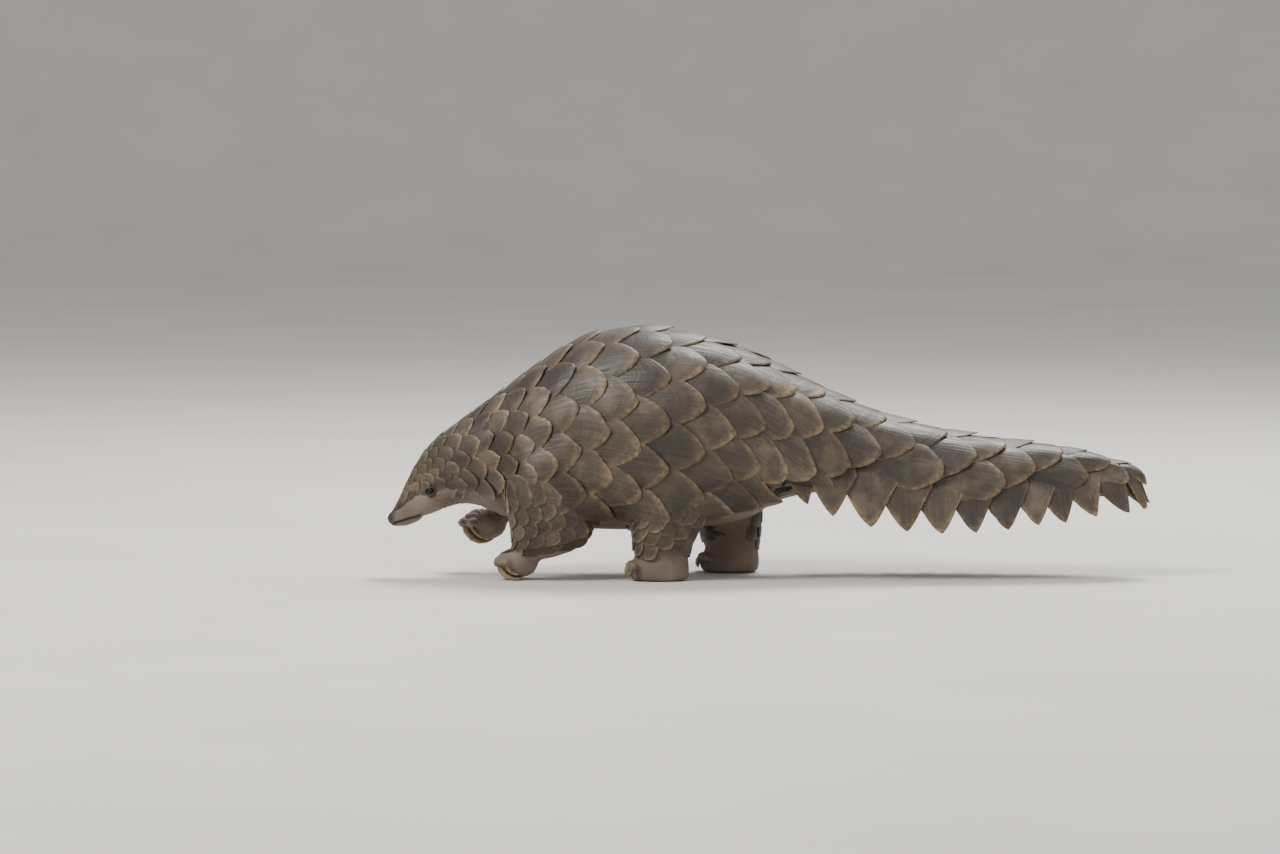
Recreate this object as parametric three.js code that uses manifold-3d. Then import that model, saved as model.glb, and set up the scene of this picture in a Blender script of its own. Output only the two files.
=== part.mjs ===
// A ground pangolin in mid-stride, as a still, life-size model.
// Units are millimetres, +Z is up and the floor is Z = 0.
// The nose points to -X and the animal's left side to -Y.
// The solids give the animal's outline with its scales on, out to the tips of the scales.
import * as THREE from "three";
import { LoftGeometry } from "three/addons/geometries/LoftGeometry.js";
import { ConvexGeometry } from "three/addons/geometries/ConvexGeometry.js";
import { mergeVertices } from "three/addons/utils/BufferGeometryUtils.js";
import Module from "manifold-3d";

// Driving dimensions
const gap = 0.3; // between touching pieces
const bodyRings = 52; // sections of the body from nose to tail tip
const ringPoints = 20; // points round a body section
const trackHalfWidth = 52; // from the middle plane to the middle of a hind foot
const hipX = -72; // where both hind legs meet the trunk
const leftFootX = -112; // the left hind foot is a stride ahead
const rightFootX = -37;
const hindFootHeight = 26; // from the floor to the cut between leg and foot
const shoulderX = -236;
const foreTrack = 46; // from the middle plane to the middle of a forefoot
const eyeRadius = 4.6;
const tailScaleCount = 10; // pointed scales along each margin of the tail
const firstScaleTip = 66; // X of the first of these tips
const tipSpan = 302; // from the first tip to the last
const toes = [-2, -1, 0, 1, 2]; // from the inside of a foot to its outside, or the other way round

// The body as ribs in the middle plane: the back line, the belly line, the half width, and how far up
// from belly to back the widest level lies. On the tail that level is below the hollow underside.
const ribs = [
  { part: "nose", top: [-400.5, 62.5], bottom: [-398.5, 55.5], half: 4, widest: 0.5 },
  { part: "nose", top: [-395, 69], bottom: [-392.5, 52.5], half: 8.5, widest: 0.5 },
  { part: "head", top: [-387, 81.5], bottom: [-377, 53.5], half: 11.5, widest: 0.45 },
  { part: "head", top: [-380.5, 97.5], bottom: [-361, 61], half: 16.5, widest: 0.42 },
  { part: "head", top: [-369, 119], bottom: [-343, 69], half: 24, widest: 0.42 },
  { part: "head", top: [-352, 142], bottom: [-325, 75], half: 33, widest: 0.45 },
  { part: "neck", top: [-322, 164.5], bottom: [-307, 75], half: 43, widest: 0.5 },
  { part: "neck", top: [-288, 188.5], bottom: [-287, 66], half: 55, widest: 0.48 },
  { part: "trunk", top: [-244, 222], bottom: [-256, 56], half: 73, widest: 0.44 },
  { part: "trunk", top: [-192, 253], bottom: [-205, 50], half: 89, widest: 0.42 },
  { part: "trunk", top: [-135, 264], bottom: [-140, 48], half: 97, widest: 0.41 },
  { part: "trunk", top: [-78, 256.5], bottom: [-80, 50], half: 98, widest: 0.4 },
  { part: "trunk", top: [-24, 240], bottom: [-22, 60], half: 92, widest: 0.38 },
  { part: "tail", top: [24, 216], bottom: [20, 80], half: 81, widest: 0.26 },
  { part: "tail", top: [72, 191], bottom: [66, 92], half: 73, widest: 0.0 },
  { part: "tail", top: [126, 171], bottom: [122, 95], half: 69, widest: -0.22 },
  { part: "tail", top: [182, 156], bottom: [180, 92], half: 66, widest: -0.34 },
  { part: "tail", top: [238, 146], bottom: [237, 89], half: 62, widest: -0.34 },
  { part: "tail", top: [294, 139], bottom: [292, 88], half: 54, widest: -0.28 },
  { part: "tail", top: [346, 129], bottom: [342, 86], half: 43, widest: -0.14 },
  { part: "tail", top: [384, 112], bottom: [376, 85], half: 29, widest: 0.05 },
  { part: "tail", top: [402, 97], bottom: [398, 88], half: 11, widest: 0.4 },
];
const tailStart = ribs.findIndex((rib) => rib.part === "tail");

const curve = (points) => new THREE.CatmullRomCurve3(points, false, "centripetal");
const backLine = curve(ribs.map((rib) => new THREE.Vector3(rib.top[0], 0, rib.top[1])));
const bellyLine = curve(ribs.map((rib) => new THREE.Vector3(rib.bottom[0], 0, rib.bottom[1])));
const girthLine = curve(ribs.map((rib, i) => new THREE.Vector3(rib.half, 100 * rib.widest, 100 * i)));

// The rib at index i, which may lie between two ribs; grow makes the body thicker all round.
function ribAt(i, grow = 0) {
  const t = THREE.MathUtils.clamp(i / (ribs.length - 1), 0, 1);
  const top = backLine.getPoint(t);
  const bottom = bellyLine.getPoint(t);
  const girth = girthLine.getPoint(t);
  const up = top.clone().sub(bottom);
  const height = up.length();
  up.normalize();
  const level = bottom.clone().addScaledVector(up, (height * girth.y) / 100);
  const onTail = THREE.MathUtils.smoothstep(i, tailStart - 1, tailStart + 2);
  return {
    up,
    level,
    half: girth.x + grow,
    above: top.distanceTo(level) + grow,
    below: (height * girth.y) / 100 + grow,
    hollow: 0.92 + 1.08 * onTail, // a round belly, and a tail that is flat or hollow underneath
  };
}

function bodyRing(i, grow) {
  const rib = ribAt(i, grow);
  return Array.from({ length: ringPoints }, (_, k) => {
    const angle = (2 * Math.PI * k) / ringPoints;
    const c = Math.cos(angle);
    const s = Math.sin(angle);
    const height = c >= 0 ? rib.above * c ** 0.94 : -rib.below * (-c) ** rib.hollow;
    const side = rib.half * Math.sign(s) * Math.abs(s) ** 0.92;
    return rib.level.clone().addScaledVector(rib.up, height).setY(side);
  });
}

const wasm = await Module();
wasm.setup();

// A closed three.js geometry as a manifold-3d solid, and back.
function solid(geometry) {
  const bare = new THREE.BufferGeometry().setAttribute("position", geometry.getAttribute("position"));
  if (geometry.index) bare.setIndex(geometry.index);
  const merged = mergeVertices(bare, 1e-3);
  const corners = merged.index.array;
  const triangles = [];
  for (let i = 0; i < corners.length; i += 3) {
    const [a, b, c] = [corners[i], corners[i + 1], corners[i + 2]];
    if (a !== b && b !== c && c !== a) triangles.push(a, b, c);
  }
  return new wasm.Manifold(
    new wasm.Mesh({
      numProp: 3,
      vertProperties: merged.attributes.position.array,
      triVerts: new Uint32Array(triangles),
    }),
  );
}

function geometryOf(piece) {
  const mesh = piece.getMesh();
  const positions = new Float32Array(mesh.numVert * 3);
  for (let i = 0; i < mesh.numVert; i++) {
    for (let k = 0; k < 3; k++) positions[i * 3 + k] = mesh.vertProperties[i * mesh.numProp + k];
  }
  const geometry = new THREE.BufferGeometry();
  geometry.setAttribute("position", new THREE.BufferAttribute(positions, 3));
  geometry.setIndex(new THREE.BufferAttribute(new Uint32Array(mesh.triVerts), 1));
  geometry.computeVertexNormals();
  return geometry;
}

// A loft through rings of points, which are turned round first if they wind against the way they run.
function loft(rings) {
  const middleOf = (ring) => ring.reduce((sum, p) => sum.add(p), new THREE.Vector3()).divideScalar(ring.length);
  const start = middleOf(rings[0]);
  const winding = new THREE.Vector3();
  rings[0].forEach((p, i) => {
    const next = rings[0][(i + 1) % rings[0].length];
    winding.add(p.clone().sub(start).cross(next.clone().sub(start)));
  });
  const ahead = middleOf(rings[1]).sub(start);
  const ordered = winding.dot(ahead) > 0 ? rings : rings.map((ring) => [...ring].reverse());
  return solid(new LoftGeometry(ordered, { capStart: true, capEnd: true }));
}

const largest = (piece) => piece.decompose().sort((a, b) => b.volume() - a.volume())[0];

// A block that fills all space on one side of a plane and half the gap beyond it.
// Side +1 is the side that the normal points to.
function halfSpace(point, normal, side) {
  const size = 1400;
  const block = new THREE.BoxGeometry(size, size, size);
  const turn = new THREE.Quaternion().setFromUnitVectors(new THREE.Vector3(1, 0, 0), normal);
  block.applyQuaternion(turn);
  const centre = point.clone().addScaledVector(normal, side * (size / 2 - gap / 2));
  return solid(block.translate(centre.x, centre.y, centre.z));
}

const underFloor = halfSpace(new THREE.Vector3(0, 0, -gap / 2), new THREE.Vector3(0, 0, 1), -1);

function bodySolid(grow) {
  const last = ribs.length - 1;
  return loft(Array.from({ length: bodyRings }, (_, k) => bodyRing((last * k) / (bodyRings - 1), grow)));
}

// A cut across the body at rib index i keeps what lies ahead of it (-1) or behind it (+1).
function keep(piece, i, side) {
  const rib = ribAt(i);
  const normal = new THREE.Vector3(rib.up.z, 0, -rib.up.x);
  return piece.subtract(halfSpace(rib.level, normal, -side));
}

// One pointed scale on the tail's margin, a wedge from inside the tail to its tip.
function marginScale(k, side) {
  const along = k / (tailScaleCount - 1);
  const tipX = firstScaleTip + tipSpan * (1.2 * along - 0.2 * along ** 2); // closer towards the end
  const reach = k === 0 ? 40 : THREE.MathUtils.lerp(29, 24, along);
  const back = THREE.MathUtils.lerp(17, -1, along);
  const drop = THREE.MathUtils.lerp(26, 8.5, along) * (k === 0 ? 0.9 : 1);
  const flare = THREE.MathUtils.lerp(3, 9, along);
  const points = [];
  for (const x of [tipX - reach, tipX + back]) {
    const rib = tailRibOver(x);
    for (const [inward, rise] of [[9, 4], [0.5, 3], [4, -1]]) {
      points.push(new THREE.Vector3(x, side * (rib.half - inward), rib.level.z + rise));
    }
  }
  const tip = tailRibOver(tipX);
  for (const [x, out, rise] of [[0, flare, -drop], [-2.5, flare - 1.6, 0.6 - drop], [-1.5, flare, 2.2 - drop]]) {
    points.push(new THREE.Vector3(tipX + x, side * (tip.half + out), tip.level.z + rise));
  }
  return solid(new ConvexGeometry(points));
}

// The rib of the tail at a place X, found by halving.
function tailRibOver(x) {
  let [low, high] = [tailStart, ribs.length - 1];
  for (let step = 0; step < 20; step++) {
    const between = (low + high) / 2;
    if (ribAt(between).level.x < x) low = between;
    else high = between;
  }
  return ribAt((low + high) / 2);
}

// A limb: a loft of level oval sections, each [x, y, z, half length, half width], rounded by a spline.
function limb(sections, rings, points) {
  const centres = curve(sections.map(([x, y, z]) => new THREE.Vector3(x, y, z)));
  const sizes = curve(sections.map(([, , z, length, width]) => new THREE.Vector3(length, width, z)));
  return loft(
    Array.from({ length: rings }, (_, k) => {
      const centre = centres.getPoint(k / (rings - 1));
      const size = sizes.getPoint(k / (rings - 1));
      return Array.from({ length: points }, (_, j) => {
        const angle = (2 * Math.PI * j) / points;
        return new THREE.Vector3(
          centre.x + size.x * Math.cos(angle),
          centre.y + size.y * Math.sin(angle),
          centre.z,
        );
      });
    }),
  );
}

// A claw: a horn that tapers along an arc in an upright plane, turned about Z by yaw.
// It starts at angle from and ends at angle to, both in degrees, where 180 is forwards and 270 is down.
function claw({ centre, radius, from, to, thick, width, yaw = 0 }, grow = 0) {
  const rings = 6;
  const points = 6;
  const sections = Array.from({ length: rings }, (_, k) => {
    const share = k / (rings - 1);
    const angle = THREE.MathUtils.degToRad(THREE.MathUtils.lerp(from, to, share));
    const taper = Math.max(1 - share ** 1.7, 0.12);
    const outward = new THREE.Vector3(Math.cos(angle), 0, Math.sin(angle));
    const middle = outward.clone().multiplyScalar(radius * (1 - 0.12 * share));
    return Array.from({ length: points }, (_, j) => {
      const turn = (2 * Math.PI * j) / points;
      return middle
        .clone()
        .addScaledVector(outward, (thick * taper + grow) * Math.cos(turn))
        .add(new THREE.Vector3(0, (width * taper + grow) * Math.sin(turn), 0));
    });
  });
  const turned = sections.map((ring) =>
    ring.map((p) => p.applyAxisAngle(new THREE.Vector3(0, 0, 1), yaw).add(centre)),
  );
  return loft(turned);
}

function ball(centre, [rx, ry, rz], turn = 0, grow = 0) {
  const shape = new THREE.SphereGeometry(1, 12, 8);
  shape.scale(rx + grow, ry + grow, rz + grow).rotateY(turn);
  return solid(shape.translate(centre.x, centre.y, centre.z));
}

const pieces = new Map(); // name to manifold-3d solid
const place = (x, y, z) => new THREE.Vector3(x, y, z);

// Hind legs: pillars with a round sole. The foot shifts along X by its stride.
function hindLeg(name, side, footX) {
  const y = side * trackHalfWidth;
  const towards = (share) => THREE.MathUtils.lerp(hipX, footX, share);
  const whole = limb(
    [
      [towards(0), y * 1.0, 150, 40, 30],
      [towards(0.35), y * 1.16, 112, 47, 33],
      [towards(0.72), y * 1.12, 74, 43, 31],
      [towards(0.94), y * 1.04, 44, 34, 27],
      [towards(1), y, 24, 30, 24.5],
      [towards(1) - 2, y, 8, 32.5, 25.5],
      [towards(1) - 2, y, -3, 29.5, 23],
    ],
    14,
    18,
  ).subtract(underFloor);
  const cut = place(0, 0, hindFootHeight);
  const up = place(0, 0, 1);
  const claws = toes.map((toe) => ({
    centre: place(footX - 22 - 7 * Math.cos(toe * 0.55), y + toe * 9.2, 7.4),
    radius: 9,
    from: 118,
    to: 196,
    thick: 3,
    width: Math.abs(toe) < 2 ? 3.9 : 3.3,
    yaw: -toe * 0.26,
  }));
  let foot = whole.subtract(halfSpace(cut, up, 1));
  claws.forEach((shape, i) => {
    foot = foot.subtract(claw(shape, gap));
    pieces.set(`hind_claw_${name}_${i + 1}`, claw(shape).subtract(underFloor));
  });
  pieces.set(`hind_foot_${name}`, largest(foot));
  pieces.set(`hind_leg_${name}`, largest(whole.subtract(halfSpace(cut, up, -1)).subtract(grownBody)));
}

// Forelegs: a scaled upper part, and a paw whose digging claws curl back under it.
const pawTurn = 0.12; // radians
function foreLeg(name, side, { elbow, wrist, paw, pawSize, fist }) {
  const leg = limb(
    [
      [shoulderX, side * 50, 150, 30, 24],
      [shoulderX, side * 62, 120, 38, 26],
      [shoulderX + 1, side * 62, 90, 40, 26],
      elbow,
      wrist,
      [paw.x + 5, paw.y, paw.z + 2, 13, 13],
    ],
    13,
    14,
  );
  const claws = toes.map((toe) => {
    const large = Math.abs(toe) < 2; // the three middle ones dig
    return {
      centre: place(paw.x + (large ? 0 : 3), paw.y + toe * 8.2, paw.z + (large ? 0 : 1)),
      radius: fist * (large ? 1 : 0.76),
      from: 176,
      to: toe === 0 ? 318 : large ? 306 : 268,
      thick: large ? 3.9 : 2.6,
      width: large ? 4 : 2.8,
      yaw: -toe * 0.06,
    };
  });
  let palm = ball(paw, pawSize, pawTurn);
  let upper = leg.subtract(grownBody).subtract(ball(paw, pawSize, pawTurn, gap));
  claws.forEach((shape, i) => {
    const room = claw(shape, gap);
    palm = palm.subtract(room);
    upper = upper.subtract(room);
    pieces.set(`fore_claw_${name}_${i + 1}`, largest(claw(shape).subtract(underFloor)));
  });
  pieces.set(`fore_foot_${name}`, largest(palm.subtract(underFloor)));
  pieces.set(`fore_leg_${name}`, largest(upper.subtract(underFloor)));
}

const body = bodySolid(0);
const grownBody = bodySolid(gap);

// The left foreleg is planted under the shoulder, the right one is lifted and reaches ahead.
foreLeg("left", -1, {
  elbow: [-226, -60, 47, 44, 22],
  wrist: [-243, -50, 25, 26, 18],
  paw: place(-263, -foreTrack, 17.5),
  pawSize: [24, 19, 16.5],
  fist: 17.4,
});
foreLeg("right", 1, {
  elbow: [-252, 56, 71, 32, 21],
  wrist: [-276, 50, 58, 22, 18],
  paw: place(-299, foreTrack, 51.5),
  pawSize: [25.5, 19, 18.5],
  fist: 20.5,
});
hindLeg("left", -1, leftFootX);
hindLeg("right", 1, rightFootX);

// The trunk, neck and head of one loft, parted by thin cuts across the body.
const cuts = { nose: 1.15, head: 5.35, neck: 7.6, trunk: 12.9, tail_root: 15.5 }; // rib indexes
let rest = body;
for (const [name, i] of Object.entries(cuts)) {
  pieces.set(name, largest(keep(rest, i, -1)));
  rest = keep(rest, i, 1);
}
pieces.set("tail_end", largest(rest));

// The tail's margin scales belong to the length of tail that they grow from.
for (let k = 0; k < tailScaleCount; k++) {
  for (const side of [-1, 1]) {
    const wedge = marginScale(k, side);
    const { min, max } = wedge.boundingBox();
    const onRoot = (min[0] + max[0]) / 2 < ribAt(cuts.tail_root).level.x;
    const owner = onRoot ? "tail_root" : "tail_end";
    pieces.set(owner, largest(pieces.get(owner).add(keep(wedge, cuts.tail_root, onRoot ? -1 : 1))));
  }
}

// The lower jaw is cut from the head along the mouth, which falls towards the nose, and across its corner.
const mouthCorner = place(-364, 0, 65);
const upFromMouth = place(-0.3, 0, 0.95).normalize();
const backFromMouth = place(0.95, 0, 0.3).normalize();
const aboveMouth = halfSpace(mouthCorner, upFromMouth, 1);
const behindMouth = halfSpace(mouthCorner, backFromMouth, 1);
const jawRoom = halfSpace(mouthCorner, upFromMouth, -1).intersect(halfSpace(mouthCorner, backFromMouth, -1));
const wholeHead = pieces.get("head");
pieces.set("lower_jaw", largest(wholeHead.subtract(aboveMouth).subtract(behindMouth)));
pieces.set("head", largest(wholeHead.subtract(jawRoom)));

// Eyes in their sockets, and the small fold of skin that is all a pangolin has for an ear.
const earTurn = 0.35; // radians
for (const [name, side] of [["left", -1], ["right", 1]]) {
  const eye = place(-353.5, side * 21.4, 91.5);
  const eyeSize = [eyeRadius, eyeRadius, eyeRadius];
  pieces.set(`eye_${name}`, ball(eye, eyeSize));
  pieces.set("head", largest(pieces.get("head").subtract(ball(eye, eyeSize, 0, gap))));
  const ear = ball(place(-324, side * 36.5, 93), [4, 4, 9.5], earTurn);
  pieces.set(`ear_${name}`, largest(ear.subtract(grownBody)));
}

// Materials
const looks = {
  scale: { color: 0x6b5a45, roughness: 0.55, metalness: 0 },
  skin: { color: 0x5d4f45, roughness: 0.8, metalness: 0 },
  claw: { color: 0x8f7f66, roughness: 0.45, metalness: 0 },
  eye: { color: 0x0c0a09, roughness: 0.12, metalness: 0 },
};
const materials = Object.fromEntries(
  Object.entries(looks).map(([name, look]) => [name, new THREE.MeshStandardMaterial({ name, ...look })]),
);
function materialFor(name) {
  if (name.includes("claw")) return materials.claw;
  if (name.startsWith("eye")) return materials.eye;
  return /nose|jaw|ear_|foot/.test(name) ? materials.skin : materials.scale;
}

// The model: its origin is on the floor under the middle of its outline.
const pangolin = new THREE.Group();
for (const [name, piece] of pieces) {
  const mesh = new THREE.Mesh(geometryOf(piece), materialFor(name));
  mesh.name = name;
  pangolin.add(mesh);
}
const outline = new THREE.Box3().setFromObject(pangolin, true);
const middle = outline.getCenter(new THREE.Vector3());
pangolin.position.set(-middle.x, -middle.y, -outline.min.z);

export default pangolin;
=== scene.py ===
import math
import bpy
import numpy as np
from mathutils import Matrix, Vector
from mathutils.bvhtree import BVHTree


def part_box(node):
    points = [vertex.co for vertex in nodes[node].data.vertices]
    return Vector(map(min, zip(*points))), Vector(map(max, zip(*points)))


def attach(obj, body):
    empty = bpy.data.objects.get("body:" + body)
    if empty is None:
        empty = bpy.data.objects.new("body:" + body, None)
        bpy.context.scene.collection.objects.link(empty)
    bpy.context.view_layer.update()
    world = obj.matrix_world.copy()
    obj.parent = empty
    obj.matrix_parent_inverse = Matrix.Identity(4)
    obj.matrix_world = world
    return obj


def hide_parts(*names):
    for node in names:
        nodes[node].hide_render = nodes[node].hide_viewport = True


# A ground pangolin in mid-stride. Metres, +Z up, nose to -X, its left side to -Y.

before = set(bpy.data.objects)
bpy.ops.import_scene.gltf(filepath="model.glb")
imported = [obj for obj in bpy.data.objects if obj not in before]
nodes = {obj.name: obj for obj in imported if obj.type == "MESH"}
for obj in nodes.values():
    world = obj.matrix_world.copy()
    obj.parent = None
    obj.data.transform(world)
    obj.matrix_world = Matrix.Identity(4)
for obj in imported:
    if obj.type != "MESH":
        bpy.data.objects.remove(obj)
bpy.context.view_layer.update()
dice = np.random.default_rng(5)
bodyNodes = ["nose", "head", "neck", "trunk", "tail_root", "tail_end"]
sides = {"left": -1, "right": 1}
print("frame loaded,", len(nodes), "nodes")


# Small helpers

def ramp(low, high, x):
    t = np.clip((np.asarray(x, float) - low) / (high - low), 0, 1)
    return t * t * (3 - 2 * t)


def lineAt(x, table):  # reads a table of (place, value) pairs
    places, values = zip(*table)
    return np.interp(x, places, values)


def blur(grid, across, along, wrap=False):  # evens out a grid of values, sizes in grid steps
    out = np.array(grid, float)
    for axis, size in ((0, across), (1, along)):
        if size <= 0:
            continue
        reach = int(math.ceil(3 * size))
        weights = np.exp(-0.5 * (np.arange(-reach, reach + 1) / size) ** 2)
        weights /= weights.sum()
        pad = [(0, 0)] * out.ndim
        pad[axis] = (reach, reach)
        padded = np.pad(out, pad, mode="wrap" if axis == 1 and wrap else "edge")
        steps = out.shape[axis]
        out = sum(w * np.take(padded, range(k, k + steps), axis=axis) for k, w in enumerate(weights))
    return out


def deselectAll():
    bpy.ops.object.select_all(action="DESELECT")


def makeActive(obj):
    deselectAll()
    obj.select_set(True)
    bpy.context.view_layer.objects.active = obj


def meshFrom(name, points, faces):
    mesh = bpy.data.meshes.new(name)
    mesh.from_pydata([tuple(p) for p in points], [], [tuple(f) for f in faces])
    mesh.update()
    obj = bpy.data.objects.new(name, mesh)
    bpy.context.scene.collection.objects.link(obj)
    return obj


def pointsOf(obj, what="co"):  # the vertices' places, or with "normal" their normals
    out = np.empty(len(obj.data.vertices) * 3, np.float32)
    obj.data.vertices.foreach_get(what, out)
    return out.reshape(-1, 3).astype(float)


def setPoints(obj, co):
    obj.data.vertices.foreach_set("co", np.asarray(co, np.float32).ravel())
    obj.data.update()


def unit(ways):  # the same directions, each of length 1
    return ways / (np.linalg.norm(ways, axis=-1, keepdims=True) + 1e-12)


def joinAll(objects):  # into the first one
    makeActive(objects[0])
    for obj in objects[1:]:
        obj.select_set(True)
    if len(objects) > 1:
        bpy.ops.object.join()
    return objects[0]


def justAdded():  # the object that was added last, its place worked into its points
    bpy.ops.object.transform_apply(location=True, rotation=False, scale=False)
    return bpy.context.object


def selectFaces(obj, wanted):  # and stays in edit mode
    makeActive(obj)
    bpy.ops.object.mode_set(mode="EDIT")
    bpy.ops.mesh.select_mode(type="FACE")
    bpy.ops.mesh.select_all(action="DESELECT")
    bpy.ops.object.mode_set(mode="OBJECT")
    for face in obj.data.polygons:
        face.select = wanted(face)
    bpy.ops.object.mode_set(mode="EDIT")


def copyOf(names, newName):  # a merged copy of CAD nodes, which themselves stay as they are
    copies = []
    for name in names:
        twin = nodes[name].copy()
        twin.data = nodes[name].data.copy()
        twin.parent = None
        for key in list(twin.keys()):
            del twin[key]
        bpy.context.scene.collection.objects.link(twin)
        copies.append(twin)
    joined = joinAll(copies)
    joined.name = newName
    joined.data.name = newName
    joined.data.materials.clear()
    bpy.ops.object.mode_set(mode="EDIT")
    bpy.ops.mesh.select_all(action="SELECT")
    bpy.ops.mesh.remove_doubles(threshold=0.00001)
    bpy.ops.object.mode_set(mode="OBJECT")
    return joined


def treeOf(names):
    points, faces = [], []
    for name in names:
        mesh = nodes[name].data
        start = len(points)
        points += [v.co.copy() for v in mesh.vertices]
        faces += [[start + k for k in p.vertices] for p in mesh.polygons]
    return BVHTree.FromPolygons(points, faces)


def finishPiece(obj, replaced=()):
    for p in obj.data.polygons:
        p.use_smooth = True
    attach(obj, "root")
    if replaced:
        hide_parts(*replaced)


# The coat's ground: rings of points round the body, laid out by distance from the middle of the back

bodySet = {
    "spine": [(-0.3975, 0.0615), (-0.385, 0.071), (-0.366, 0.090), (-0.340, 0.1115), (-0.300, 0.129),
              (-0.250, 0.140), (-0.190, 0.148), (-0.135, 0.151), (-0.080, 0.150), (-0.020, 0.147),
              (0.045, 0.139), (0.120, 0.126), (0.180, 0.117), (0.240, 0.1115), (0.300, 0.108),
              (0.350, 0.104), (0.385, 0.098), (0.4005, 0.0925)],  # X and Z through the body's middle
    "rings": 280,
    "rays": 144,
    "step": 0.002,  # between the columns of the ground
    "reach": 0.34,  # to each side of the back
    "far": 0.16,  # farther out than any surface of the body and the upper legs
    "even": 1.2,
    "teethRings": 7,  # the tail's pointed margin scales are taken off over this many rings to each side
    "teethAngles": (1.0, 2.9),  # and between these angles from the back
}


def splineThrough(points, count):  # even steps along a smooth curve
    points = np.array(points, float)
    ends = np.vstack([2 * points[0] - points[1], points, 2 * points[-1] - points[-2]])
    fine = []
    for a, b, c, d in zip(ends, ends[1:], ends[2:], ends[3:]):
        t = np.linspace(0, 1, 40, endpoint=False)[:, None]
        fine.append(0.5 * ((2 * b) + (c - a) * t + (2 * a - 5 * b + 4 * c - d) * t**2
                           + (3 * b - a - 3 * c + d) * t**3))
    fine = np.vstack(fine + [points[-1:]])
    run = np.concatenate([[0], np.cumsum(np.linalg.norm(np.diff(fine, axis=0), axis=1))])
    even = np.linspace(0, run[-1], count)
    return np.stack([np.interp(even, run, fine[:, k]) for k in range(fine.shape[1])], 1)


def rayAngles(rays):
    return np.linspace(-math.pi, math.pi, rays, endpoint=False)


def castRings(names, centres, ups, outs, rays, far, inward=True):  # the nodes' radii, by ring and angle
    tree = treeOf(names)
    hits = np.full((len(centres), rays), np.nan)
    for i, (centre, up, out) in enumerate(zip(centres, ups, outs)):
        for j, angle in enumerate(rayAngles(rays)):
            way = up * math.cos(angle) + out * math.sin(angle)
            if inward:
                spot = tree.ray_cast(Vector(centre + way * far), Vector(-way), far)
                if spot[0] is not None:
                    hits[i, j] = far - spot[3]
                continue
            start, gone = centre.copy(), 0.0
            for crossing in range(8):  # passes the thin gaps between the nodes
                spot = tree.ray_cast(Vector(start), Vector(way), far - gone)
                if spot[0] is None:
                    break
                gone += spot[3] + 1e-5
                hits[i, j] = gone
                start = centre + way * gone
    for j in range(rays):
        good = ~np.isnan(hits[:, j])
        hits[:, j] = np.interp(np.arange(len(centres)), np.flatnonzero(good), hits[good, j])
    return hits


def groundFrom(centres, ups, outs, radii, step, reach):
    angles = rayAngles(radii.shape[1])
    upward, outward = np.cos(angles)[None, :, None], np.sin(angles)[None, :, None]
    ways = upward * ups[:, None, :] + outward * outs[:, None, :]
    rings = centres[:, None, :] + ways * radii[:, :, None]
    middle = len(angles) // 2  # the ray at angle 0, along the back
    columns = np.arange(-int(reach / step), int(reach / step) + 1) * step
    table = np.empty((len(centres), len(columns), 3))
    halves = np.empty(len(centres))
    for i, ring in enumerate(rings):
        turned = np.roll(ring, -middle, axis=0)
        closed = np.vstack([turned, turned[:1]])
        run = np.concatenate([[0], np.cumsum(np.linalg.norm(np.diff(closed, axis=0), axis=1))])
        wrapped = np.mod(columns, run[-1])
        table[i] = np.stack([np.interp(wrapped, run, closed[:, k]) for k in range(3)], 1)
        halves[i] = run[-1] / 2
    along = np.gradient(table, axis=0)
    normals = unit(np.cross(along, np.gradient(table, axis=1)))
    normals *= np.sign(np.sum(normals * (table - centres[:, None, :]), axis=2, keepdims=True))
    return {"points": table, "columns": columns, "step": step, "half": halves, "centres": centres,
            "normals": unit(blur(normals, 2, 2)), "paceAlong": np.linalg.norm(along, axis=2)}


def groundAt(ground, what, i, w):  # reads a table of the ground at ring i and distance w, both arrays
    table = ground[what]
    i = np.clip(i, 0, table.shape[0] - 1.001)
    m = np.clip((w - ground["columns"][0]) / ground["step"], 0, table.shape[1] - 1.001)
    i0, m0 = np.floor(i).astype(int), np.floor(m).astype(int)
    fi, fm = i - i0, m - m0
    if table.ndim == 3:
        fi, fm = fi[..., None], fm[..., None]
    return (table[i0, m0] * (1 - fi) * (1 - fm) + table[i0 + 1, m0] * fi * (1 - fm)
            + table[i0, m0 + 1] * (1 - fi) * fm + table[i0 + 1, m0 + 1] * fi * fm)


def bodyGround():
    line = splineThrough(bodySet["spine"], bodySet["rings"])
    centres = np.stack([line[:, 0], np.zeros(len(line)), line[:, 1]], 1)
    ahead = blur(np.gradient(centres, axis=0), 4, 0)
    ahead /= np.linalg.norm(ahead, axis=1, keepdims=True)
    ups = np.stack([-ahead[:, 2], np.zeros(len(line)), ahead[:, 0]], 1)
    outs = np.tile([0.0, 1.0, 0.0], (len(line), 1))
    radii = castRings(bodyNodes, centres, ups, outs, bodySet["rays"], bodySet["far"], inward=False)
    near = bodySet["teethRings"]
    low = np.array([radii[max(0, i - near):i + near + 1].min(axis=0) for i in range(len(radii))])
    start, end = bodySet["teethAngles"]
    angles = np.abs(rayAngles(bodySet["rays"]))
    onTail = centres[:, 0] > 0.0
    radii = np.where(onTail[:, None] & (angles > start) & (angles < end), low, radii)
    radii = (radii + radii[:, -np.arange(bodySet["rays"])]) / 2  # the same on both sides
    radii = blur(radii, bodySet["even"], bodySet["even"], wrap=True)
    return groundFrom(centres, ups, outs, radii, bodySet["step"], bodySet["reach"]), radii, ups, outs


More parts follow.
